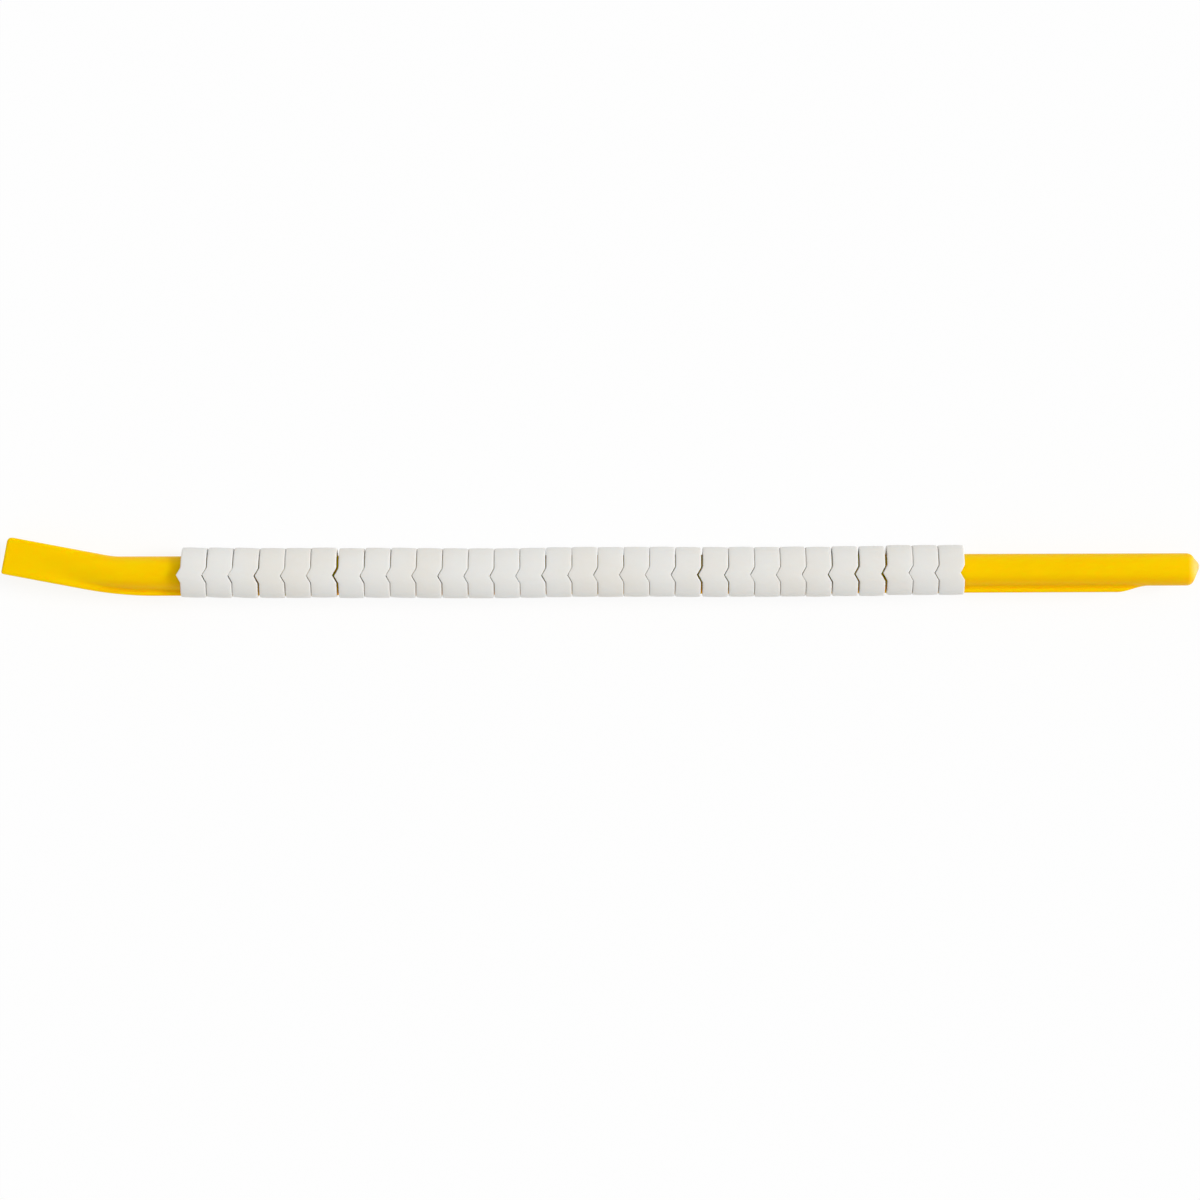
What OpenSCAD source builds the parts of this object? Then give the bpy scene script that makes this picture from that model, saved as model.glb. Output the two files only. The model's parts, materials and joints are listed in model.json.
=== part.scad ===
// Cable marker wand: a moulded rod with a flat handle, carrying a row of blank clip-on marker sleeves.
// The rod runs along X with its tip at +X. The origin is on the rod's axis, where its round nose begins.
// The keel, the handle and the sleeves' slits lie in the XY plane, and the sleeves' chevrons face +Z.

/* [Marker sleeve] */
// Length of one sleeve between its straight edges
sleeve_len = 3.82; // [3:0.01:8]
// Outside diameter of a sleeve
sleeve_od = 7.7; // [7:0.1:12]
// Wall of a sleeve
sleeve_wall = 0.95; // [0.7:0.05:1.2]
// Radius on the outer edge of a sleeve's ends
edge_round = 0.22; // [0.1:0.02:0.4]
// Depth of the chevron tab
chevron_depth = 0.65; // [0.3:0.05:1.2]
// How much shallower the notch is than the tab, which keeps the straight edges apart
notch_short = 0.05; // [0:0.01:0.2]
// Height of the chevron tab across the sleeve
chevron_h = 2.3; // [1.5:0.1:4]
// Width of the slit that clips over a cable
slit_w = 1.8; // [1.6:0.1:3]

/* [Row of sleeves] */
// Number of sleeves on the wand
sleeve_count = 30; // [5:1:40]
// Gap left between two sleeves where they come closest
touch_gap = 0.04; // [0.02:0.01:0.2]
// Further gap where a sleeve stands well off the next one
wide_gap = 0.22; // [0:0.01:1]
// Further gap where a sleeve stands a little off the next one
small_gap = 0.06; // [0:0.01:0.5]
// Turn of the whole row about the rod, which takes up the play at the keel
sleeve_roll = 7; // [0:0.5:8]
// Largest sideways drift of a sleeve from the rod's axis
sway_max = 0.2; // [0:0.01:0.2]
// Height of the sleeves' axis above the rod's axis, as the rod hangs in the bores
rod_drop = 0.12; // [0:0.01:0.14]

/* [Rod] */
// Radial clearance between a sleeve's bore and the rod's thick end
rod_play = 0.3; // [0.28:0.01:0.5]
// Diameter that the rod loses from its thick end to its nose
rod_taper = 0.25; // [0:0.01:0.6]
// Bare rod between the front sleeve and the nose
bare_tip = 34.25; // [20:0.05:60]
// Bare rod between the rear sleeve and the middle of the bend
bare_rear = 12.2; // [10:0.1:30]
// Length of the parallel nose ahead of the keel
nose_len = 5.8; // [3:0.1:10]
// Radius that rounds the nose's end
nose_round = 1.2; // [0.5:0.05:2]
// Diameter of the snapped-off moulding gate at its foot in the nose
gate_d = 2.9; // [1:0.1:3]
// Diameter of the gate at its snapped end
gate_end_d = 0.9; // [0.4:0.1:1]
// How far the gate stands out of the nose
gate_h = 0.65; // [0.2:0.05:1]
// Distance of the gate from the rod's axis
gate_offset = 0.4; // [0:0.1:0.6]

/* [Keel] */
// Clearance between the keel and each side of a sleeve's slit
keel_play = 0.45; // [0.35:0.05:0.6]
// How far the keel reaches into the slit, past the bore
keel_reach = 0.55; // [0.3:0.05:0.7]
// Length over which the keel rises from the nose
keel_ramp = 4.9; // [2:0.1:10]

/* [Handle] */
// Width of the handle
handle_w = 5.75; // [4:0.05:10]
// Thickness of the handle
handle_t = 3; // [1.6:0.1:4.5]
// Length of the handle from the middle of the bend
handle_len = 15.2; // [10:0.1:40]
// Angle of the handle to the rod
handle_bend = 10.8; // [4:0.2:25]
// Radius of the bend along the keel's edge
bend_round = 58; // [10:1:70]
// Radius of the handle's corner on the outside of the bend
keel_corner = 0.35; // [0.1:0.05:1.5]
// Radius of the handle's corner on the inside of the bend
inner_corner = 0.75; // [0.1:0.05:1.5]
// Length over which the rod fades into the flat handle
fade_len = 10; // [4:0.1:14]

/* [Hidden] */
$fn = 64;
bore_d = sleeve_od - 2 * sleeve_wall;
rod_r = bore_d / 2 - rod_play;
nose_r = rod_r - rod_taper / 2;
keel_t = slit_w - 2 * keel_play;
keel_edge = bore_d / 2 + keel_reach;
notch_depth = chevron_depth - notch_short;
// Sleeves that stand well off the next one, and those that stand a little off it
wide_after = [6, 20, 26, 27];
small_after = [25, 29];
// Lean of each sleeve in degrees, clockwise as seen from +Z
leans = [1.6, 2.4, 2.8, 1, 0.4, 0.2, 0.6, 1.2, 1.6, 1.4, 0.8, 0.4, -0.4, -0.4, 0.2,
         0, -0.2, 0.2, 0.4, 0.8, 0.6, -0.4, -0.4, -0.4, -0.4, -0.2, -0.2, -0.2, -0.4, -0.6];
// Drift of each sleeve towards the keel, as a share of the largest drift
sways = [-0.4, -0.2, 0, 0.2, 0.2, 0, 0.5, 0.3, 0.4, 0.7, 0.9, 1, 1, 0.8, 0.4,
         0.2, 0.4, 0.3, 0.3, 0.6, 0.7, 0.6, 0.8, 0.6, 0.8, 0.4, 0.4, -0.3, -0.2, -0.2];
// Overlap that joins two solids of one piece
bite = 0.3;
// Depth of the keel's foot under the round of the nose
keel_sink = 0.02;
// Thickness of the slices that the fade is spanned between, and how far they lie inside what they join
slice = 0.1;
slice_inset = 0.01;
// Share of the fade's drop from the rod to the handle that lies ahead of the kink
kink_drop = 0.15;
// How far a cut runs past what it cuts
cut_past = 1;

function sleeve_name(i) = str("sleeve_", i < 10 ? "0" : "", i);
function lean(i) = leans[(i - 1) % len(leans)];
function sway(i) = -sway_max * sways[(i - 1) % len(sways)];
function is_in(i, list) = len(search(i, list)) > 0;

// Room between the straight edges of two neighbours, from their lean, their drift and how they stand
function gap_after(i) = touch_gap + notch_short
    + sleeve_od / 2 * abs(sin(lean(i + 1) - lean(i)))
    + abs(sway(i + 1) - sway(i)) * chevron_depth / (chevron_h / 2)
    + (is_in(i, wide_after) ? wide_gap : is_in(i, small_after) ? small_gap : 0);

// X of the straight rear edge of a sleeve, counted back from the front one
function rear_edge(i) = i == sleeve_count
    ? -bare_tip - sleeve_len
    : rear_edge(i + 1) - gap_after(i) - sleeve_len;

bend_x = rear_edge(1) - bare_rear;
rod_rear = bend_x + handle_w / 2;
// Where the rod's two edges, carried on, meet the handle's edges
kink_back = meet_back(rod_r, handle_w / 2);
keel_back = meet_back(-keel_edge, -handle_w / 2);
bend_start = on_handle([keel_back, -handle_w / 2]).x + bend_round * tan(handle_bend / 2);

function arc(centre, radius, from, to, steps) =
    [for (k = [0:steps]) let (a = from + (to - from) * k / steps) centre + radius * [cos(a), sin(a)]];
// A point of the handle, from its distance behind the bend and its height above the middle line
function on_handle(p) = [
    bend_x - p.x * cos(handle_bend) + p.y * sin(handle_bend),
    p.x * sin(handle_bend) + p.y * cos(handle_bend)];
function all_on_handle(points) = [for (p = points) on_handle(p)];
// Distance behind the bend at which a line of the handle reaches a height above the rod's axis
function meet_back(height, across) = (height - across * cos(handle_bend)) / sin(handle_bend);

// Smooth rise of the keel from inside the nose to its full height
function keel_rise() = let (foot = sqrt(pow(nose_r, 2) - pow(keel_t / 2, 2)) - keel_sink)
    [for (t = [0:0.1:1])
        [-nose_len - keel_ramp * t, -foot - (keel_edge - foot) * (1 - cos(180 * t)) / 2]];

// Arc that carries the keel's edge into the handle's lower edge, and the edge's height at an X on it
function keel_bend() = arc([bend_start, bend_round - keel_edge], bend_round, -90, -90 - handle_bend, 16);
function keel_low(x) = bend_round - keel_edge - sqrt(pow(bend_round, 2) - pow(min(0, x - bend_start), 2));

function handle_end() = all_on_handle(concat(
    arc([handle_len - keel_corner, keel_corner - handle_w / 2], keel_corner, -90, 0, 6),
    arc([handle_len - inner_corner, handle_w / 2 - inner_corner], inner_corner, 0, 90, 8)));

module along_x() rotate([90, 0, 90]) children();

// Thin plate that makes the keel and runs on into the handle
module keel() {
    top_inside_rod = on_handle([-rod_r / tan(handle_bend) / 2, handle_w / 2]);
    ends_in_handle = all_on_handle([[fade_len + bite, -handle_w / 2], [fade_len + bite, handle_w / 2]]);
    linear_extrude(keel_t, center = true)
        polygon(concat([[-nose_len, 0]], keel_rise(), keel_bend(), ends_in_handle, [top_inside_rod]));
}

// Flat grip behind the fade
module handle() {
    front = all_on_handle([[fade_len, handle_w / 2], [fade_len, -handle_w / 2]]);
    linear_extrude(handle_t, center = true) polygon(concat(front, handle_end()));
}

// Half section of the rod, turned about its axis
module rod_section() {
    polygon([[0, rod_rear], [rod_r, rod_rear], [nose_r, -nose_len], [0, -nose_len]]);
    translate([0, -nose_len]) square([nose_r, nose_len]);
    square([nose_r - nose_round, nose_round]);
    intersection() {
        translate([nose_r - nose_round, 0]) circle(nose_round);
        square([nose_r, nose_round]);
    }
}

// Thin slices that the fade is spanned between: on the rod's end, at the kink, on the keel and on the handle
module rod_slice()
    translate([rod_rear + bite, 0, 0]) along_x() cylinder(r = rod_r - slice_inset, h = slice, $fn = 48);
module kink_slice()
    translate(on_handle([kink_back, 0])) rotate([0, 0, -handle_bend]) along_x()
        scale([handle_w / 2 - slice_inset, rod_r - kink_drop * (rod_r - handle_t / 2), 1])
            cylinder(r = 1, h = slice, $fn = 48);
module keel_slice()
    translate([rod_rear, keel_low(rod_rear) + slice_inset, slice_inset - keel_t / 2])
        cube([slice, -keel_low(rod_rear), keel_t - 2 * slice_inset]);
module handle_slice()
    translate(on_handle([fade_len, 0])) rotate([0, 0, -handle_bend])
        cube([slice, handle_w - 2 * slice_inset, handle_t - 2 * slice_inset], center = true);

// Swelling over which the round rod and its keel die away into the flat handle
module fade() {
    hull() { rod_slice(); kink_slice(); }
    hull() { kink_slice(); handle_slice(); }
    hull() { keel_slice(); handle_slice(); }
}

module wand() color("gold") {
    keel();
    handle();
    along_x() rotate_extrude() rod_section();
    fade();
    translate([nose_round - bite, gate_offset, 0]) along_x()
        cylinder(d1 = gate_d, d2 = gate_end_d, h = bite + gate_h);
}

// Ring with softly rounded outer edges, before the chevron and the slit are cut
module sleeve_ring() {
    along_x() rotate_extrude() difference() {
        union() {
            square([sleeve_od / 2 - edge_round, sleeve_len]);
            translate([0, edge_round]) square([sleeve_od / 2, sleeve_len - 2 * edge_round]);
            for (y = [edge_round, sleeve_len - edge_round])
                translate([sleeve_od / 2 - edge_round, y]) circle(edge_round);
        }
        square([bore_d / 2, sleeve_len]);
    }
}

// Prism of a chevron's outline above the axis, with its point at -X and its root run on towards +X
module chevron(x, depth, root) {
    half = chevron_h / 2 * depth / chevron_depth;
    translate([x, 0, 0]) linear_extrude(sleeve_od)
        polygon([[root, -half], [0, -half], [-depth, 0], [0, half], [root, half]]);
}

// One clip-on sleeve: a slit ring with a chevron tab at its rear edge and a notch at its front edge
module sleeve_body() {
    difference() {
        union() {
            difference() {
                sleeve_ring();
                chevron(sleeve_len, notch_depth, cut_past);
            }
            intersection() {
                translate([-chevron_depth, 0, 0]) along_x() difference() {
                    cylinder(d = sleeve_od, h = sleeve_len);
                    cylinder(d = bore_d, h = sleeve_len);
                }
                chevron(0, chevron_depth, 2 * edge_round);
            }
        }
        translate([-cut_past, -sleeve_od, -slit_w / 2])
            cube([sleeve_len + 2 * cut_past, sleeve_od, slit_w]);
    }
}

module sleeve(i) color("whitesmoke")
    translate([rear_edge(i) + sleeve_len / 2, sway(i), rod_drop]) rotate([sleeve_roll, 0, -lean(i)])
        translate([-sleeve_len / 2, 0, 0]) sleeve_body();

wand();
for (i = [1:sleeve_count]) sleeve(i);
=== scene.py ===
"""Looks of a cable marker wand: a yellow moulded rod that carries a row of blank white marker sleeves.

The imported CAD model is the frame. The rod runs along X with its tip at +X, its keel lies on the -Y side,
and the sleeves' chevrons face +Z. Sizes of the pieces are in millimetres and meshes are in metres.
"""

import json
import logging
import math
from contextlib import contextmanager
from dataclasses import dataclass, field
from enum import Enum
from typing import Any, Callable, Iterator

import bmesh
import bpy
from mathutils import Matrix, Vector

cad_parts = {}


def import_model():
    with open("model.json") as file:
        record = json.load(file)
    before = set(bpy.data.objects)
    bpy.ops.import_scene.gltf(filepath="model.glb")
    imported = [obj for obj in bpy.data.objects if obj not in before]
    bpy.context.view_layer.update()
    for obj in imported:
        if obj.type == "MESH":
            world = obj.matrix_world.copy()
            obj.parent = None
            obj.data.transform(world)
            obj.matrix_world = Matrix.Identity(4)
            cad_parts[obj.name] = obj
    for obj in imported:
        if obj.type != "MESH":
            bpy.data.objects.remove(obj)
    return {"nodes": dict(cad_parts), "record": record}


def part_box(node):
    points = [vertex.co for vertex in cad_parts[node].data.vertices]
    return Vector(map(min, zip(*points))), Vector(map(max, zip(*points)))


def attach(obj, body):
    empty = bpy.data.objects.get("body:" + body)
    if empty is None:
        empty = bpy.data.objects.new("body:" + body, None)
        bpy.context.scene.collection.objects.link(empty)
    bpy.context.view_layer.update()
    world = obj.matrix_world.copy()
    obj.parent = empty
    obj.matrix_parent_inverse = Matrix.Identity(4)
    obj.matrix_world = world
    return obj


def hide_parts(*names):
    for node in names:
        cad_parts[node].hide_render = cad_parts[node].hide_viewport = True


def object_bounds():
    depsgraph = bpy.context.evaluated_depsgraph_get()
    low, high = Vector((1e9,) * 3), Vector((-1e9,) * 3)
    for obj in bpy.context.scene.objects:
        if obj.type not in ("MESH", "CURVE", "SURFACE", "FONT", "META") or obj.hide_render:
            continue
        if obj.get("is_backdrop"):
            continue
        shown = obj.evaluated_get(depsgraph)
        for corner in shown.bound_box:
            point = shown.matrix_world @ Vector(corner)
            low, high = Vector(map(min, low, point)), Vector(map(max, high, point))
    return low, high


LOG = logging.getLogger("marker_wand")

# One millimetre in metres
MM = 0.001

# Parts of a turn in degrees
QUARTER_TURN = 90.0
HALF_TURN = 180.0
FULL_TURN = 360.0

# Curve of a display's colours: a straight toe, and a power above it
CHANNEL_TOP = 255
TOE_END = 0.04045
TOE_SLOPE = 12.92
CURVE_SHIFT = 0.055
CURVE_POWER = 2.4

# Middle of shader noise, which runs from 0 to 1
NOISE_MIDDLE = 0.5

# Sockets of a Mix node that mixes colours
MIX_SHARE = 0
MIX_FIRST = 6
MIX_SECOND = 7
MIX_RESULT = 2

Colour = tuple[float, float, float, float]
Point = tuple[float, float]
Triple = tuple[float, float, float]


class Node(Enum):
    """CAD nodes that the scene asks for by name."""

    WAND = "wand"


class Slot(Enum):
    """Material slots of the record."""

    WAND = "wand_plastic"
    SLEEVE = "sleeve_plastic"


class Element(Enum):
    """What is selected in edit mode."""

    VERTEX = "VERT"
    FACE = "FACE"


class Axis(Enum):
    """Axes of the shared frame."""

    X = "X"
    Y = "Y"
    Z = "Z"


def srgb(red: int, green: int, blue: int) -> Colour:
    """Turns a display colour into a linear one.

    Args:
        red: Red from 0 to 255.
        green: Green from 0 to 255.
        blue: Blue from 0 to 255.

    Returns:
        Linear red, green, blue and an alpha of 1.
    """
    def linear(channel: int) -> float:
        """Turns one channel.

        Args:
            channel: Its display value from 0 to 255.

        Returns:
            Its linear value from 0 to 1.
        """
        share = channel / CHANNEL_TOP
        if share <= TOE_END:
            return share / TOE_SLOPE
        return ((share + CURVE_SHIFT) / (1 + CURVE_SHIFT)) ** CURVE_POWER

    return linear(red), linear(green), linear(blue), 1.0


def ease(share: float) -> float:
    """Smooth rise from 0 to 1 for a share that is held between 0 and 1."""
    held = min(1.0, max(0.0, share))
    return (1 - math.cos(math.pi * held)) / 2


def round_off(distance: float, radius: float) -> float:
    """How far a round corner has drawn in, at a distance from the end that it rounds."""
    short = max(0.0, radius - distance)
    return radius - math.sqrt(radius ** 2 - short ** 2)


# Shader nodes

@dataclass(frozen=True)
class Socket:
    """A node's output on which Python's operators do shader maths."""

    graph: "Graph"
    out: bpy.types.NodeSocket | None

    def maths(self, operation: str, first: "Socket | float", second: "Socket | float") -> "Socket":
        """Adds one Math node.

        Args:
            operation: The Math node's operation.
            first: A socket or a number.
            second: A socket or a number.

        Returns:
            The node's result.
        """
        return self.graph.node("ShaderNodeMath", {"operation": operation}, {0: first, 1: second})

    def __add__(self, other: "Socket | float") -> "Socket":
        """Sum with a socket or a number."""
        return self.maths("ADD", self, other)

    def __radd__(self, other: "Socket | float") -> "Socket":
        """Sum with a number on the left."""
        return self.maths("ADD", other, self)

    def __sub__(self, other: "Socket | float") -> "Socket":
        """Difference from a socket or a number."""
        return self.maths("SUBTRACT", self, other)

    def __rsub__(self, other: "Socket | float") -> "Socket":
        """Difference of a number on the left."""
        return self.maths("SUBTRACT", other, self)

    def __mul__(self, other: "Socket | float") -> "Socket":
        """Product with a socket or a number."""
        return self.maths("MULTIPLY", self, other)

    def __rmul__(self, other: "Socket | float") -> "Socket":
        """Product with a number on the left."""
        return self.maths("MULTIPLY", other, self)


class Graph:
    """The nodes of one material or of the world."""

    def __init__(self, tree: bpy.types.NodeTree) -> None:
        """Empties a node tree and takes it over.

        Args:
            tree: The tree of a material or of the world.
        """
        self.tree = tree
        tree.nodes.clear()

    def node(self, kind: str, settings: dict[str, Any] | None = None,
             inputs: dict[Any, Any] | None = None, output: int | str = 0) -> Socket:
        """Adds any node.

        Args:
            kind: The node's type.
            settings: The node's own settings, or a ramp's stops under the key stops.
            inputs: Values or links of its sockets, by name or index.
            output: The output that is wanted, by name or index.

        Returns:
            That output, or an empty socket where the node has none.
        """
        made = self.tree.nodes.new(kind)
        for key, value in (settings or {}).items():
            if key == "stops":
                self._set_stops(made.color_ramp, value)
            else:
                setattr(made, key, value)
        for key, value in (inputs or {}).items():
            if isinstance(value, Socket):
                self.tree.links.new(value.out, made.inputs[key])
            else:
                made.inputs[key].default_value = value
        return Socket(self, made.outputs[output] if made.outputs else None)

    @staticmethod
    def _set_stops(ramp: bpy.types.ColorRamp, stops: list[tuple[float, Colour]]) -> None:
        """Gives a ramp its stops.

        Args:
            ramp: The ramp of a new node, which has two stops.
            stops: Position and colour of each stop.
        """
        while len(ramp.elements) < len(stops):
            ramp.elements.new(1.0)
        for element, (position, colour) in zip(ramp.elements, stops):
            element.position = position
            element.color = colour

    def place(self) -> Socket:
        """Object coordinates of the shaded point."""
        return self.node("ShaderNodeTexCoord", output="Object")

    def coordinate(self, point: Socket, axis: Axis) -> Socket:
        """One coordinate of a point or a direction."""
        return self.node("ShaderNodeSeparateXYZ", {}, {"Vector": point}, output=axis.value)

    def stretched(self, point: Socket, scale: Triple, shift: Triple = (0.0, 0.0, 0.0)) -> Socket:
        """Coordinates scaled along each axis and then shifted.

        Args:
            point: The coordinates.
            scale: Factor along X, Y and Z.
            shift: Shift along X, Y and Z.

        Returns:
            The new coordinates.
        """
        return self.node("ShaderNodeMapping", {}, {"Vector": point, "Scale": scale, "Location": shift})

    def noise(self, point: Socket, size: float, detail: float) -> Socket:
        """Cloudy noise from 0 to 1.

        Args:
            point: The coordinates.
            size: Size of its patches in millimetres.
            detail: How many finer layers it has.

        Returns:
            The noise.
        """
        scale = 1 / (size * MM)
        return self.node("ShaderNodeTexNoise", {}, {"Vector": point, "Scale": scale, "Detail": detail})

    def fade(self, value: Socket, low: float, high: float) -> Socket:
        """Smooth step.

        Args:
            value: What is compared.
            low: Where the result is 0.
            high: Where the result is 1.

        Returns:
            The step from 0 to 1.
        """
        return self.node("ShaderNodeMapRange", {"interpolation_type": "SMOOTHSTEP"},
                         {"Value": value, "From Min": low, "From Max": high})

    def fade_mm(self, place: Socket, band: Point) -> Socket:
        """Smooth step over a band of places that is given in millimetres."""
        return self.fade(place, band[0] * MM, band[1] * MM)

    def mix(self, share: Socket | float, first: Socket | Colour, second: Socket | Colour) -> Socket:
        """Mixes two colours.

        Args:
            share: Share of the second colour.
            first: A colour or a socket.
            second: A colour or a socket.

        Returns:
            The mixed colour.
        """
        inputs = {MIX_SHARE: share, MIX_FIRST: first, MIX_SECOND: second}
        return self.node("ShaderNodeMix", {"data_type": "RGBA"}, inputs, output=MIX_RESULT)

    def bump(self, height: Socket, strength: float, depth: float) -> Socket:
        """Surface relief.

        Args:
            height: Height from 0 to 1.
            strength: How much of it shows.
            depth: Height of a full step in millimetres.

        Returns:
            The bent normal.
        """
        return self.node("ShaderNodeBump", {},
                         {"Height": height, "Strength": strength, "Distance": depth * MM})

    def principled(self, inputs: dict[str, Any]) -> None:
        """Ends a material in a Principled shader with these inputs."""
        shader = self.node("ShaderNodeBsdfPrincipled", {}, inputs)
        self.node("ShaderNodeOutputMaterial", {}, {"Surface": shader})


def new_material(name: str) -> tuple[bpy.types.Material, Graph]:
    """Makes an empty material.

    Args:
        name: The material's name.

    Returns:
        The material and the graph of its nodes.
    """
    material = bpy.data.materials.new(name)
    material.use_nodes = True
    return material, Graph(material.node_tree)


# Finishes

@dataclass(frozen=True)
class WandPlastic:
    """Yellow moulded plastic with faint flow marks, painted shade on its sides, and a whitened gate with
    painted highlight.

    Sizes and places are in millimetres. A pair says where a change starts and where it is full.
    """

    yellow: Colour = srgb(245, 203, 0)
    deep: Colour = srgb(244, 200, 0)
    bright: Colour = srgb(246, 205, 1)
    # Painted shade: a deeper amber for the rod's shaded flank, keel edge and far rim
    painted_shade_amber: Colour = srgb(241, 187, 0)
    # Pale of the whitened gate, which is also a painted highlight on the nose's round end
    scar_and_highlight_pale: Colour = srgb(227, 197, 118)
    sheen: Colour = srgb(255, 220, 90)
    roughness: float = 0.45
    specular: float = 0.1
    # Light that bleeds through the plastic
    bleed: float = 0.6
    bleed_depth: Triple = (1.0, 0.25, 0.05)
    bleed_mm: float = 1.4
    # Painted shade on the rod's flank, the keel's edge and the far rim, and where it starts along the
    # handle
    painted_shade_amber_side: Point = (-0.5, -1.9)
    painted_shade_amber_root: Point = (-2.95, -2.75)
    painted_shade_amber_edge: Point = (-3.2, -3.45)
    painted_shade_amber_rim: Point = (1.4, 3.0)
    painted_shade_amber_rear: Point = (-171.0, -162.0)
    # Flow marks along the rod, clouds and fine grain
    flow_size: float = 2.2
    flow_detail: float = 3.0
    flow_stretch: float = 0.12
    flow_marks: Point = (0.35, 0.7)
    flow_matt: float = 0.16
    cloud_size: float = 7.0
    cloud_detail: float = 2.0
    cloud_marks: Point = (0.45, 0.75)
    grain_size: float = 0.16
    grain_detail: float = 1.0
    grain_share: float = 0.5
    relief: float = 0.25
    relief_mm: float = 0.02
    # Ragged oval round the snapped gate, where the plastic is whitened and a highlight is painted
    scar_and_highlight_along: Point = (-0.1, 1.2)
    scar_and_highlight_out: Point = (2.6, 0.0)
    scar_and_highlight_middle: float = 0.3
    scar_and_highlight_flat: float = 0.45
    scar_and_highlight_rag: float = 0.8
    scar_matt: float = 0.15

    def material(self) -> bpy.types.Material:
        """Builds the material.

        Returns:
            The material.
        """
        material, graph = new_material("yellow_plastic")
        point = graph.place()
        along = graph.stretched(point, (self.flow_stretch, 1.0, 1.0))
        flow = graph.noise(along, self.flow_size, self.flow_detail)
        cloud = graph.noise(point, self.cloud_size, self.cloud_detail)
        grain = graph.noise(point, self.grain_size, self.grain_detail)
        # The scar mask is whitened plastic and a painted highlight on the nose
        scar = self._scar_and_highlight(graph, point, cloud)
        graph.principled({
            "Base Color": graph.mix(scar, self._body(graph, point, flow, cloud), self.scar_and_highlight_pale),
            "Roughness": self.roughness + (flow - NOISE_MIDDLE) * self.flow_matt + scar * self.scar_matt,
            "Normal": graph.bump(grain * self.grain_share + flow, self.relief, self.relief_mm),
            "Specular IOR Level": self.specular, "Specular Tint": self.sheen,
            "Subsurface Weight": self.bleed, "Subsurface Radius": self.bleed_depth,
            "Subsurface Scale": self.bleed_mm * MM})
        return material

    def _body(self, graph: Graph, point: Socket, flow: Socket, cloud: Socket) -> Socket:
        """Colour of the plastic away from the scar, with painted shade along the rod's flank, keel and far
        rim.

        Args:
            graph: The material's graph.
            point: The shaded point.
            flow: Noise of the flow marks.
            cloud: Noise of the clouds.

        Returns:
            The colour.
        """
        body = graph.mix(graph.fade(flow, *self.flow_marks), self.yellow, self.bright)
        body = graph.mix(graph.fade(cloud, *self.cloud_marks), body, self.deep)
        across = graph.coordinate(point, Axis.Y)
        painted_shade_bands = (self.painted_shade_amber_side, self.painted_shade_amber_root, self.painted_shade_amber_edge, self.painted_shade_amber_rim)
        side, root, edge, rim = (graph.fade_mm(across, band) for band in painted_shade_bands)
        ahead = graph.fade_mm(graph.coordinate(point, Axis.X), self.painted_shade_amber_rear)
        # Painted shade: amber where the flank, the keel's edge and the far rim lie in shade, faded out on
        # the handle
        return graph.mix((side * (root + edge) + rim) * ahead, body, self.painted_shade_amber)

    def _scar_and_highlight(self, graph: Graph, point: Socket, cloud: Socket) -> Socket:
        """Mask of the whitened scar round the gate, which also paints the highlight on the nose's round
        end.

        Args:
            graph: The material's graph.
            point: The shaded point.
            cloud: Noise that makes the scar's border ragged.

        Returns:
            How much of the scar shows, from 0 to 1.
        """
        oval = graph.stretched(point, (0.0, 1.0, self.scar_and_highlight_flat), (0.0, -self.scar_and_highlight_middle * MM, 0.0))
        away = graph.node("ShaderNodeVectorMath", {"operation": "LENGTH"}, {0: oval}, output="Value")
        ragged = graph.coordinate(point, Axis.X) + (cloud - NOISE_MIDDLE) * (self.scar_and_highlight_rag * MM)
        return graph.fade_mm(ragged, self.scar_and_highlight_along) * graph.fade_mm(away, self.scar_and_highlight_out)


@dataclass(frozen=True)
class SleevePlastic:
    """Blank white plastic with a satin skin, whose tone drifts a little from sleeve to sleeve.

    Sizes are in millimetres. A pair says where a change starts and where it is full.
    """

    white: Colour = srgb(228, 226, 221)
    warm: Colour = srgb(227, 224, 217)
    cool: Colour = srgb(228, 227, 223)
    roughness: float = 0.5
    specular: float = 0.2
    # Light that bleeds through the plastic
    bleed: float = 0.25
    bleed_depth: Triple = (0.7, 0.85, 1.0)
    bleed_mm: float = 0.6
    # Drift of the tone, mould marks and fine skin
    drift_size: float = 11.0
    drift_detail: float = 1.0
    drift_marks: Point = (0.35, 0.65)
    mould_size: float = 1.6
    mould_detail: float = 3.0
    mould_marks: Point = (0.4, 0.7)
    mould_share: float = 0.5
    mould_matt: float = 0.2
    skin_size: float = 0.2
    skin_detail: float = 1.0
    skin_share: float = 0.5
    relief: float = 0.2
    relief_mm: float = 0.02

    def material(self) -> bpy.types.Material:
        """Builds the material.

        Returns:
            The material.
        """
        material, graph = new_material("white_plastic")
        point = graph.place()
        drift = graph.noise(point, self.drift_size, self.drift_detail)
        mould = graph.noise(point, self.mould_size, self.mould_detail)
        skin = graph.noise(point, self.skin_size, self.skin_detail)
        tone = graph.mix(graph.fade(drift, *self.drift_marks), self.warm, self.cool)
        marks = graph.fade(mould, *self.mould_marks) * self.mould_share
        graph.principled({
            "Base Color": graph.mix(marks, tone, self.white),
            "Roughness": self.roughness + (mould - NOISE_MIDDLE) * self.mould_matt,
            "Normal": graph.bump(skin * self.skin_share + mould, self.relief, self.relief_mm),
            "Specular IOR Level": self.specular, "Subsurface Weight": self.bleed,
            "Subsurface Radius": self.bleed_depth, "Subsurface Scale": self.bleed_mm * MM})
        return material


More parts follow.
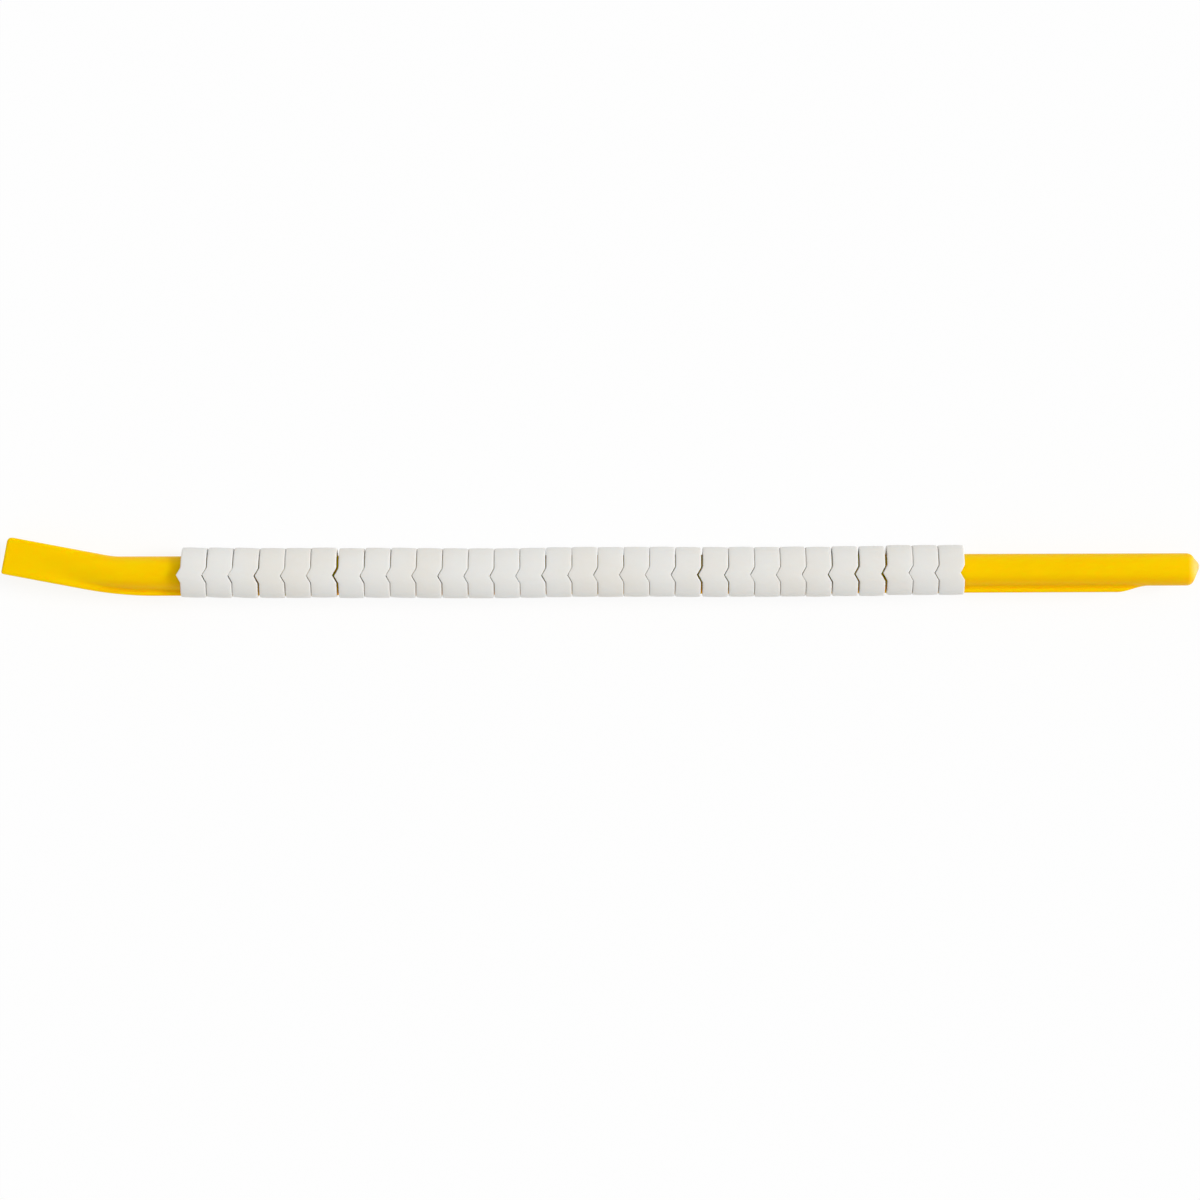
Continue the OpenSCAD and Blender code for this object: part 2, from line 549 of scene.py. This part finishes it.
@dataclass(frozen=True)
class LightTable:
    """White floor that glows from below, so that it stays white beside the object."""

    white: Colour = srgb(240, 240, 240)
    glow_share: float = 0.84
    glow: float = 1.01

    def material(self) -> bpy.types.Material:
        """Builds the material.

        Returns:
            The material.
        """
        material, graph = new_material("light_table")
        diffuse = graph.node("ShaderNodeBsdfDiffuse", {}, {"Color": self.white})
        glow = graph.node("ShaderNodeEmission", {}, {"Strength": self.glow})
        mixed = graph.node("ShaderNodeMixShader", {}, {0: self.glow_share, 1: diffuse, 2: glow})
        graph.node("ShaderNodeOutputMaterial", {}, {"Surface": mixed})
        return material


# Hand modelling

def deselect_all() -> None:
    """Clears the selection, so that an operator acts on one piece alone."""
    if bpy.context.object and bpy.context.object.mode != "OBJECT":
        bpy.ops.object.mode_set(mode="OBJECT")
    bpy.ops.object.select_all(action="DESELECT")


def take(piece: bpy.types.Object) -> None:
    """Makes one object the only selected one, and the active one.

    Args:
        piece: The object.
    """
    deselect_all()
    piece.select_set(True)
    bpy.context.view_layer.objects.active = piece


@contextmanager
def editing(piece: bpy.types.Object, element: Element = Element.VERTEX) -> Iterator[bpy.types.Mesh]:
    """Opens a piece in edit mode and closes it again after the block.

    Args:
        piece: The mesh object.
        element: What is selected there.

    Returns:
        The mesh under edit, for as long as the block runs.
    """
    take(piece)
    bpy.ops.object.mode_set(mode="EDIT")
    bpy.ops.mesh.select_mode(type=element.value)
    yield piece.data
    bpy.ops.object.mode_set(mode="OBJECT")


def pick(mesh: bpy.types.Mesh, wanted: Callable[[Vector], bool]) -> None:
    """Selects faces by the place of their middle.

    Args:
        mesh: The mesh under edit.
        wanted: Says whether a place is picked.
    """
    bpy.ops.mesh.select_all(action="DESELECT")
    edit = bmesh.from_edit_mesh(mesh)
    for face in edit.faces:
        face.select_set(bool(wanted(face.calc_center_median())))
    edit.select_flush_mode()
    bmesh.update_edit_mesh(mesh)


def lay(mesh: bpy.types.Mesh, ring: list[int], points: list[Vector]) -> None:
    """Moves the vertices of a ring to their points.

    Args:
        mesh: The mesh under edit.
        ring: Indices of the vertices.
        points: Their places.
    """
    edit = bmesh.from_edit_mesh(mesh)
    edit.verts.ensure_lookup_table()
    for index, point in zip(ring, points):
        edit.verts[index].co = point
    bmesh.update_edit_mesh(mesh)


def extruded(mesh: bpy.types.Mesh, ring: list[int]) -> list[int]:
    """Extrudes the selected end face.

    Args:
        mesh: The mesh under edit.
        ring: Indices of the end face's vertices.

    Returns:
        Indices of the new end face's vertices, in the same order.
    """
    bpy.ops.mesh.extrude_region_move()
    edit = bmesh.from_edit_mesh(mesh)
    edit.verts.ensure_lookup_table()
    edit.verts.index_update()
    new = []
    for index in ring:
        old = edit.verts[index]
        ends = [link.other_vert(old) for link in old.link_edges]
        new.append(next(vertex.index for vertex in ends if vertex.select))
    return new


def loft(name: str, rings: list[list[Vector]]) -> bpy.types.Object:
    """Extrudes a face ring by ring, which makes a closed skin with a face at both ends.

    Args:
        name: Name of the piece.
        rings: Points of each ring, in metres, as many in each.

    Returns:
        The piece.
    """
    deselect_all()
    bpy.ops.mesh.primitive_circle_add(vertices=len(rings[0]), fill_type="NGON")
    piece = bpy.context.object
    piece.name = name
    with editing(piece) as mesh:
        bpy.ops.mesh.select_all(action="SELECT")
        ring = list(range(len(rings[0])))
        lay(mesh, ring, rings[0])
        for points in rings[1:]:
            ring = extruded(mesh, ring)
            lay(mesh, ring, points)
        bpy.ops.mesh.select_all(action="SELECT")
        bpy.ops.mesh.normals_make_consistent(inside=False)
    return piece


def smooth(piece: bpy.types.Object, angle_deg: float) -> None:
    """Shades a piece smooth, apart from edges that are sharper than an angle."""
    take(piece)
    bpy.ops.object.shade_smooth_by_angle(angle=math.radians(angle_deg))


def dress(piece: bpy.types.Object, material: bpy.types.Material) -> None:
    """Gives a piece its one material."""
    piece.data.materials.clear()
    piece.data.materials.append(material)


# The wand

@dataclass
class BentEdge:
    """One long edge of the wand's rear: a run on the rod, a round bend and the handle's straight run."""

    start: Vector
    corner: Vector
    end: Vector
    radius: float

    def __post_init__(self) -> None:
        """Works out the two directions and the length of each stretch."""
        self.first = (self.corner - self.start).normalized()
        self.second = (self.end - self.corner).normalized()
        self.turn = self.first.angle(self.second)
        self.inward = (self.second - self.first * self.first.dot(self.second)).normalized()
        tangent = self.radius * math.tan(self.turn / 2)
        self.run = (self.corner - self.start).length - tangent
        self.bend = self.radius * self.turn
        self.length = self.run + self.bend + (self.end - self.corner).length - tangent

    def at(self, share: float) -> Vector:
        """Point on the edge.

        Args:
            share: Share of the edge's length, from 0 to 1.

        Returns:
            The point, in the wand's plane.
        """
        gone = share * self.length
        if gone <= self.run:
            return self.start + self.first * gone
        angle = min(1.0, (gone - self.run) / self.bend) * self.turn
        point = self.start + self.first * (self.run + self.radius * math.sin(angle))
        point = point + self.inward * self.radius * (1 - math.cos(angle))
        return point + self.second * max(0.0, gone - self.run - self.bend)


@dataclass
class Station:
    """One cross section of the wand: where its keel side and its far side lie, and its half outline."""

    low: Vector
    high: Vector
    outline: list[Point]

    def ring(self) -> list[Vector]:
        """Lays the outline between the two sides.

        Returns:
            The points of the closed ring, in metres.
        """
        bottom = self.outline[0][0]
        height = self.outline[-1][0] - bottom
        half = []
        for across, up in self.outline:
            flat = self.low.lerp(self.high, (across - bottom) / height)
            half.append(Vector((flat.x, flat.y, up)))
        other = [Vector((p.x, p.y, -p.z)) for p in half[-2:0:-1]]
        return [p * MM for p in half + other]


@dataclass
class Wand:
    """The yellow moulding: nose, rod with its keel, and the flat bent handle, lofted as one skin."""

    # The rod's thick radius and the handle's far end, which the CAD model gives
    rod_r: float
    end_x: float
    finish: WandPlastic = WandPlastic()
    # Nose, and the turn of its round end at which the gate's mound starts
    nose_r: float = 2.475
    nose_len: float = 5.8
    nose_round: float = 1.2
    nose_turn: float = math.radians(60)
    # Mound of the snapped gate, the dent in its end, and how closely that end is found
    gate_end_r: float = 0.45
    gate_h: float = 0.65
    gate_offset: float = 0.4
    gate_dent: float = 0.08
    gate_rim: float = 0.12
    gate_match: float = 0.001
    # Keel, its reach from the rod's axis and the length over which it rises
    keel_t: float = 0.9
    keel_round: float = 0.3
    keel_fillet: float = 0.45
    keel_edge: float = 3.45
    keel_ramp: float = 4.9
    # Handle, the radius of its bend on either side and the corners of its end
    handle_w: float = 5.75
    handle_t: float = 3.0
    handle_round: float = 0.35
    handle_len: float = 15.2
    handle_bend: float = math.radians(10.8)
    keel_bend_r: float = 58.0
    kink_r: float = 12.0
    keel_corner: float = 0.35
    inner_corner: float = 0.75
    # Bent stretch: its lead ahead of the bend, and how far behind it each side turns from rod to handle
    rear_lead: float = 8.5
    keel_fade: Point = (-4.5, 8.5)
    rod_fade: Point = (-6.5, 11.5)
    # Steps of each round and stretch, and the angle from which an edge is sharp
    gate_steps: int = 6
    corner_steps: int = 3
    fillet_steps: int = 4
    flank_steps: int = 26
    nose_steps: int = 7
    ramp_steps: int = 12
    rod_steps: int = 20
    rear_steps: int = 44
    tail_steps: int = 8
    sharp_deg: float = 38.0
    bend_x: float = field(init=False)
    rear_x: float = field(init=False)

    def __post_init__(self) -> None:
        """Works out where the handle bends, counted from its end, and where the bent stretch starts."""
        cosine = math.cos(self.handle_bend)
        sine = math.sin(self.handle_bend)
        corner_in = self.handle_w / 2 - self.keel_corner
        self.bend_x = (self.end_x + self.keel_corner + (self.handle_len - self.keel_corner) * cosine
                       + corner_in * sine)
        self.rear_x = self.bend_x + self.rear_lead

    def on_handle(self, back: float, across: float) -> Vector:
        """A point of the handle.

        Args:
            back: Distance behind the bend.
            across: Distance from the handle's middle line, away from the keel.

        Returns:
            The point in the wand's plane.
        """
        cosine = math.cos(self.handle_bend)
        sine = math.sin(self.handle_bend)
        return Vector((self.bend_x - back * cosine + across * sine, back * sine + across * cosine))

    def rod_outline(self, radius: float) -> list[Point]:
        """Half outline of the rod with its keel, from the keel's edge round to the far side.

        Args:
            radius: Radius of the rod there.

        Returns:
            Points across and up.
        """
        keel = self._edge(-self.keel_edge, self.keel_t, self.keel_round)
        rise = self.keel_t / 2 + self.keel_fillet
        root = math.asin(rise / (radius + self.keel_fillet))
        middle = self._on_circle(radius + self.keel_fillet, root)
        fillet = []
        for k in range(self.fillet_steps):
            turn = (math.pi / 2 - root) * k / self.fillet_steps
            fillet.append((middle[0] + self.keel_fillet * math.sin(turn),
                           middle[1] - self.keel_fillet * math.cos(turn)))
        return keel + fillet + [self._on_circle(radius, angle) for angle in self._flank(root)]

    def nose_outline(self, radius: float) -> list[Point]:
        """Half outline of the round nose, with as many points as the rod's.

        Args:
            radius: Radius of the ring.

        Returns:
            Points across and up.
        """
        root = math.asin(self.keel_t / 2 / self.nose_r)
        steps = self.corner_steps + self.fillet_steps + 2
        foot = [self._on_circle(radius, root * k / steps) for k in range(steps)]
        return foot + [self._on_circle(radius, angle) for angle in self._flank(root)]

    def blade_outline(self) -> list[Point]:
        """Half outline of the flat handle, with as many points as the rod's.

        Returns:
            Points across and up.
        """
        near = self._edge(-self.handle_w / 2, self.handle_t, self.handle_round)
        far = [(-across, up) for across, up in reversed(near)]
        spare = self.fillet_steps + self.flank_steps + 1 - len(far)
        start = near[-1][0]
        step = (far[0][0] - start) / (spare + 1)
        flat = [(start + step * (k + 1), self.handle_t / 2) for k in range(spare)]
        return near + flat + far

    def _edge(self, across: float, thickness: float, rounding: float) -> list[Point]:
        """Half of a plate's rounded edge, from its middle up to its flat side.

        Args:
            across: Where the edge lies.
            thickness: Thickness of the plate.
            rounding: Radius of its corners.

        Returns:
            Points across and up.
        """
        points = [(across, 0.0)]
        for k in range(self.corner_steps + 1):
            angle = math.pi / 2 * k / self.corner_steps
            inward = rounding * (1 - math.cos(angle))
            points.append((across + inward, thickness / 2 - rounding * (1 - math.sin(angle))))
        return points

    def _flank(self, root: float) -> list[float]:
        """Angles of the rod's round side, counted from the keel."""
        return [root + (math.pi - root) * k / self.flank_steps for k in range(self.flank_steps + 1)]

    @staticmethod
    def _on_circle(radius: float, angle: float) -> Point:
        """Point of a circle, across and up, at an angle from the keel's side."""
        return -radius * math.cos(angle), radius * math.sin(angle)

    @staticmethod
    def _between(first: list[Point], second: list[Point], near: float, far: float) -> list[Point]:
        """An outline part of the way from one to another.

        Args:
            first: The one outline.
            second: The other outline.
            near: Share of the second at the keel.
            far: Share of the second from halfway round to the far side.

        Returns:
            Points across and up.
        """
        halfway = len(first) / 2
        points = []
        for k, ((a, b), (c, d)) in enumerate(zip(first, second)):
            share = near + (far - near) * ease(k / halfway)
            points.append((a + (c - a) * share, b + (d - b) * share))
        return points

    def radius_at(self, x: float) -> float:
        """Radius of the tapered rod at a place along it."""
        share = (x + self.nose_len) / (self.rear_x + self.nose_len)
        return self.nose_r + (self.rod_r - self.nose_r) * min(1.0, max(0.0, share))

    def nose_stations(self) -> Iterator[Station]:
        """Sections of the nose's end, from the gate's snapped end back to the straight wall.

        Returns:
            The sections in order.
        """
        foot_x, foot_r = self._nose_round(self.nose_turn)
        top_x = self.nose_round + self.gate_h
        for k in range(self.gate_steps):
            share = 1 - k / self.gate_steps
            x = foot_x + (top_x - foot_x) * share
            yield self._nose_station(x, foot_r + (self.gate_end_r - foot_r) * share,
                                     self.gate_offset * ease(share))
        for k in range(self.nose_steps + 1):
            yield self._nose_station(*self._nose_round(self.nose_turn * (1 - k / self.nose_steps)), 0.0)

    def _nose_round(self, angle: float) -> Point:
        """Place along the rod and radius, on the round of the nose's end."""
        flat = self.nose_r - self.nose_round
        return self.nose_round * math.sin(angle), flat + self.nose_round * math.cos(angle)

    def _nose_station(self, x: float, radius: float, shift: float) -> Station:
        """A round section of the nose, shifted away from the keel."""
        return Station(Vector((x, shift - radius)), Vector((x, shift + radius)), self.nose_outline(radius))

    def rod_stations(self) -> Iterator[Station]:
        """Sections of the rod, from the foot of the keel back to the bent stretch.

        Returns:
            The sections in order.
        """
        ramp_end = self.nose_len + self.keel_ramp
        spots = [-self.nose_len - self.keel_ramp * k / self.ramp_steps for k in range(self.ramp_steps + 1)]
        length = -self.rear_x - ramp_end
        spots += [-ramp_end - length * (k + 1) / self.rod_steps for k in range(self.rod_steps - 1)]
        for x in spots:
            radius = self.radius_at(x)
            rise = ease((-x - self.nose_len) / self.keel_ramp)
            outline = self._between(self.nose_outline(radius), self.rod_outline(radius), rise, rise)
            yield Station(Vector((x, outline[0][0])), Vector((x, outline[-1][0])), outline)

    def rear_stations(self) -> Iterator[Station]:
        """Sections from the bent stretch, where the rod fades into the flat handle, to the handle's end.

        Returns:
            The sections in order.
        """
        low, high = self._rear_edges()
        rod = self.rod_outline(self.rod_r)
        blade = self.blade_outline()
        tail = self.inner_corner / low.length
        shares = [(1 - tail) * k / self.rear_steps for k in range(self.rear_steps + 1)]
        turns = [math.pi / 2 * (k + 1) / self.tail_steps for k in range(self.tail_steps)]
        shares += [1 - tail * (1 - math.sin(turn)) for turn in turns]
        for share in shares:
            left = (1 - share) * low.length
            bottom = low.at(share)
            top = high.at(share)
            behind = self.bend_x - (bottom.x + top.x) / 2
            fades = [ease((behind - start) / (end - start))
                     for start, end in (self.keel_fade, self.rod_fade)]
            outline = self._between(rod, blade, *fades)
            across = (top - bottom).normalized()
            bottom = bottom + across * round_off(left, self.keel_corner)
            top = top - across * round_off(left, self.inner_corner)
            thin = 1 - round_off(left, self.handle_round) / (self.handle_t / 2)
            yield Station(bottom, top, [(a, up * thin) for a, up in outline])

    def _rear_edges(self) -> tuple[BentEdge, BentEdge]:
        """Long edges of the rear, from the bent stretch to the handle's end.

        Returns:
            The edge on the keel's side and the one on the far side.
        """
        sine = math.sin(self.handle_bend)
        cosine = math.cos(self.handle_bend)
        half = self.handle_w / 2
        edges = []
        sides = ((-half, -self.keel_edge, self.keel_bend_r), (half, self.rod_r, self.kink_r))
        for side, level, radius in sides:
            start = Vector((self.rear_x, level))
            corner = self.on_handle((level - side * cosine) / sine, side)
            edges.append(BentEdge(start, corner, self.on_handle(self.handle_len, side), radius))
        return edges[0], edges[1]

    def build(self) -> bpy.types.Object:
        """Lofts the skin ring by ring, dents the gate's snapped end and dresses the piece.

        Returns:
            The wand.
        """
        stations = [*self.nose_stations(), *self.rod_stations(), *self.rear_stations()]
        wand = loft("yellow_wand", [station.ring() for station in stations])
        end = (self.nose_round + self.gate_h) * MM
        with editing(wand, Element.FACE) as mesh:
            pick(mesh, lambda place: math.isclose(place.x, end, rel_tol=self.gate_match))
            bpy.ops.mesh.inset(thickness=self.gate_rim * MM)
            bpy.ops.transform.translate(value=(-self.gate_dent * MM, 0, 0))
        smooth(wand, self.sharp_deg)
        dress(wand, self.finish.material())
        return wand


# The sleeves

@dataclass
class SleeveRow:
    """The blank marker sleeves: one is modelled, and each CAD sleeve gets a copy of it at its own place."""

    # The CAD sleeves by name, and the radius of their edges
    nodes: dict[str, bpy.types.Object]
    cad_edge: float = 0.22
    finish: SleevePlastic = SleevePlastic()
    # One sleeve: its wall, the rounds of its edges and the swell of its ends and its middle
    length: float = 3.82
    outer_r: float = 3.85
    wall: float = 0.95
    edge: float = 0.2
    chevron_edge: float = 0.12
    bore_edge: float = 0.1
    crown: float = 0.04
    end_swell: float = 0.03
    # Chevron, and the share of its half height over which the edges get their round back
    tab_depth: float = 0.65
    notch_depth: float = 0.66
    chevron_h: float = 2.3
    chevron_blend: Point = (0.8, 1.4)
    # Slit, the angle from its middle to a side, and the sections over which the sides turn parallel
    slit_w: float = 1.8
    slit_deg: float = 18.0
    slit_blend: int = 4
    # Turn of every sleeve about the rod
    roll: float = math.radians(7)
    # Steps of the sections and rounds, and the angle from which an edge is sharp
    coarse_deg: float = 4.5
    fine_deg: float = 1.5
    fine_reach_deg: float = 22.5
    edge_steps: int = 4
    crown_steps: int = 6
    sharp_deg: float = 40.0
    # How squarely a face of a CAD sleeve's front end faces along X
    end_facing: float = 0.99

    def angles(self) -> list[float]:
        """Angles of the sections in degrees, counted from the slit's middle towards the chevron.

        Returns:
            The angles, closer together at the chevron.
        """
        low = QUARTER_TURN - self.fine_reach_deg
        high = QUARTER_TURN + self.fine_reach_deg
        coarse = [self.slit_deg + self.coarse_deg * k
                  for k in range(round((FULL_TURN - 2 * self.slit_deg) / self.coarse_deg) + 1)]
        fine = [low + self.fine_deg * k for k in range(round((high - low) / self.fine_deg) + 1)]
        return [a for a in coarse if a < low] + fine + [a for a in coarse if a > high]

    def profile(self, edge: float) -> list[Point]:
        """Closed section of the wall, from the rear edge of the bore round over the outside.

        Args:
            edge: Radius of the outer edges.

        Returns:
            Points along the sleeve and out from its axis.
        """
        half = self.length / 2 + self.end_swell
        bore = self.outer_r - self.wall
        rim = self.outer_r - self.crown
        rear = [(-half, bore + self.bore_edge)]
        for k in range(self.edge_steps + 1):
            turn = math.pi / 2 * k / self.edge_steps
            rear.append((-half + edge * (1 - math.cos(turn)), rim - edge * (1 - math.sin(turn))))
        reach = half - edge
        top = []
        for k in range(1, self.crown_steps):
            x = reach * (2 * k / self.crown_steps - 1)
            top.append((x, rim + self.crown * (1 - (x / reach) ** 2)))
        front = [(-x, out) for x, out in reversed(rear)]
        inside = [(half - self.bore_edge, bore), (self.bore_edge - half, bore)]
        return rear + top + front + inside

    def section(self, angle_deg: float, steps_from_slit: int) -> list[Vector]:
        """Points of one section, with the chevrons pushed and the slit's sides made parallel.

        Args:
            angle_deg: Angle from the slit's middle.
            steps_from_slit: How many sections lie between it and the slit.

        Returns:
            The points in metres, with the chevron's point towards -X and the slit on the -Y side.
        """
        chevron_half = angle_deg < HALF_TURN
        level = abs(self.outer_r * math.cos(math.radians(angle_deg))) if chevron_half else self.outer_r
        start, end = self.chevron_blend
        away = ease((level / (self.chevron_h / 2) - start) / (end - start))
        share = max(0.0, 1 - steps_from_slit / self.slit_blend)
        turn = share if chevron_half else -share
        points = []
        for x, out in self.profile(self.chevron_edge + (self.edge - self.chevron_edge) * away):
            square = math.degrees(math.asin(self.slit_w / 2 / out)) - self.slit_deg
            angle = math.radians(angle_deg + square * turn)
            across = -out * math.cos(angle)
            up = out * math.sin(angle)
            points.append(Vector((x - self.chevron(x, across, up), across, up)) * MM)
        return points

    def chevron(self, x: float, across: float, up: float) -> float:
        """How far a point of the wall is pushed back by the chevron tab or notch.

        Args:
            x: Its place along the sleeve.
            across: Its place across the chevron.
            up: Its height above the sleeve's axis.

        Returns:
            The push, which dies out towards the sleeve's middle.
        """
        if up < 0:
            return 0.0
        depth = self.tab_depth if x < 0 else self.notch_depth
        slope = self.tab_depth / (self.chevron_h / 2)
        full_from = (self.length / 2 - self.edge) / 2
        return max(0.0, depth - slope * abs(across)) * min(1.0, abs(x) / full_from)

    def model(self) -> bpy.types.Object:
        """Models one sleeve about the origin by lofting its wall from one side of the slit to the other.

        Returns:
            The sleeve.
        """
        angles = self.angles()
        last = len(angles) - 1
        rings = [self.section(angle, min(k, last - k)) for k, angle in enumerate(angles)]
        sleeve = loft("sleeve", rings)
        smooth(sleeve, self.sharp_deg)
        return sleeve

    def place_of(self, node: bpy.types.Object) -> Matrix:
        """Reads a CAD sleeve's place and lean from its flat front end.

        Args:
            node: The CAD sleeve.

        Returns:
            The matrix that lays the modelled sleeve there.
        """
        ends = [face for face in node.data.polygons if face.normal.x > self.end_facing]
        area = sum(face.area for face in ends)
        facing = sum((face.normal * face.area for face in ends), Vector()) / area
        front = sum((face.center * face.area for face in ends), Vector()) / area
        lean = math.atan2(facing.y, facing.x)
        low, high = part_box(node.name)
        level = (low.z + high.z) / 2
        # How far a leaning sleeve reaches across from its middle
        reach = (self.length / 2 - self.cad_edge) * abs(math.sin(lean)) + self.outer_r * math.cos(lean)
        sway = high.y - reach * MM
        along = Vector((math.cos(lean), math.sin(lean), 0))
        x = (front.dot(along) - self.length / 2 * MM - sway * along.y) / along.x
        return (Matrix.Translation((x, sway, level)) @ Matrix.Rotation(lean, 4, "Z")
                @ Matrix.Rotation(self.roll, 4, "X"))

    def build(self) -> dict[str, bpy.types.Object]:
        """Dresses the modelled sleeve and lays a copy of it at each CAD sleeve.

        Returns:
            The copies, by the name of the CAD sleeve that each stands for.
        """
        master = self.model()
        dress(master, self.finish.material())
        copies = {}
        for name, node in self.nodes.items():
            copy = master.copy()
            copy.data = master.data.copy()
            copy.name = f"blank_{name}"
            copy.data.transform(self.place_of(node))
            bpy.context.scene.collection.objects.link(copy)
            copies[name] = copy
        bpy.data.objects.remove(master)
        return copies


# Floor, light and camera

@dataclass
class Studio:
    """White light table under a white surround and one soft key light, seen from straight above.

    Places and sizes are in metres, apart from those in pixels and the sensor in millimetres.
    """

    floor_z: float
    floor_size: float = 12.0
    floor_finish: LightTable = LightTable()
    # Scale of the image, and the pixels at which the frame's origin and the rod's axis lie in it
    image_px: int = 1200
    px_size: float = 0.1532 * MM
    origin_px: float = 1186.6
    rod_px: float = 571.6
    camera_height: float = 0.776
    camera_roll: float = math.radians(0.22)
    sensor: float = 36.0
    # Strength of the surround, and its level at heights from the horizon up to the zenith
    sky: float = 0.86
    sky_levels: tuple[Point, ...] = ((0.0, 1.0), (0.05, 1.0), (0.2, 0.55), (0.6, 0.65), (1.0, 0.95))
    key_from: Triple = (0.79, 0.1, 0.6)
    key_spread: float = math.radians(22)
    key_strength: float = 1.95

    def build(self) -> None:
        """Sets up the floor, the world, the key light and the camera."""
        self._floor()
        self._world()
        self._key()
        self._camera()
        bpy.context.scene.view_settings.view_transform = "Standard"

    def _floor(self) -> None:
        """Lays the light table under the object."""
        deselect_all()
        bpy.ops.mesh.primitive_plane_add(size=self.floor_size, location=(0, 0, self.floor_z))
        floor = bpy.context.object
        floor.name = "floor"
        dress(floor, self.floor_finish.material())
        floor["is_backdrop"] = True

    def _world(self) -> None:
        """Makes a white surround whose brightness changes with height."""
        world = bpy.data.worlds.new("studio")
        bpy.context.scene.world = world
        world.use_nodes = True
        graph = Graph(world.node_tree)
        direction = graph.node("ShaderNodeTexCoord", output="Generated")
        up = graph.coordinate(direction, Axis.Z)
        stops = [(height, (level, level, level, 1.0)) for height, level in self.sky_levels]
        shade = graph.node("ShaderNodeValToRGB", {"stops": stops}, {0: up})
        sky = graph.node("ShaderNodeBackground", {}, {"Color": shade, "Strength": self.sky})
        graph.node("ShaderNodeOutputWorld", {}, {"Surface": sky})

    def _key(self) -> None:
        """Hangs a far soft light beyond the wand's tip, which shades the rod behind the row of sleeves."""
        light = bpy.data.lights.new("key", "SUN")
        light.angle = self.key_spread
        light.energy = self.key_strength
        lamp = bpy.data.objects.new("key", light)
        lamp.location = self.key_from
        lamp.rotation_euler = (-Vector(self.key_from)).to_track_quat("-Z", "Y").to_euler()
        bpy.context.scene.collection.objects.link(lamp)

    def _camera(self) -> None:
        """Hangs the camera over the middle of the image."""
        middle = self.image_px / 2
        camera = bpy.data.cameras.new("camera")
        camera.sensor_width = self.sensor
        camera.lens = self.sensor * self.camera_height / (self.image_px * self.px_size)
        holder = bpy.data.objects.new("camera", camera)
        holder.location = ((middle - self.origin_px) * self.px_size, (self.rod_px - middle) * self.px_size,
                           self.camera_height)
        holder.rotation_euler = (0, 0, -self.camera_roll)
        bpy.context.scene.collection.objects.link(holder)
        bpy.context.scene.camera = holder


def settle(piece: bpy.types.Object, node: str, body: str, slot: Slot) -> None:
    """Ties a finished piece to the frame.

    Args:
        piece: The piece.
        node: The CAD node that it stands for.
        body: The CAD body that it rides on.
        slot: Its material slot; not used.
    """
    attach(piece, body)
    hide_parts(node)
    LOG.info("%s rides on %s, %d faces", piece.name, body, len(piece.data.polygons))


def main() -> None:
    """Builds the wand, its sleeves and the studio around the frame."""
    logging.basicConfig(level=logging.INFO, format="%(message)s")
    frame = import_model()
    cad_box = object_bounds()
    bodies = frame["record"]["behaviour"]["bodies"]
    body_of = {node: body for body, nodes in bodies.items() for node in nodes}

    low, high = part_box(Node.WAND.value)
    wand = Wand(rod_r=high.z / MM, end_x=low.x / MM).build()
    settle(wand, Node.WAND.value, body_of[Node.WAND.value], Slot.WAND)

    sleeves = {name: node for name, node in frame["nodes"].items() if name != Node.WAND.value}
    for name, sleeve in SleeveRow(sleeves).build().items():
        settle(sleeve, name, body_of[name], Slot.SLEEVE)

    Studio(floor_z=cad_box[0].z).build()


if __name__ == "__main__":
    main()
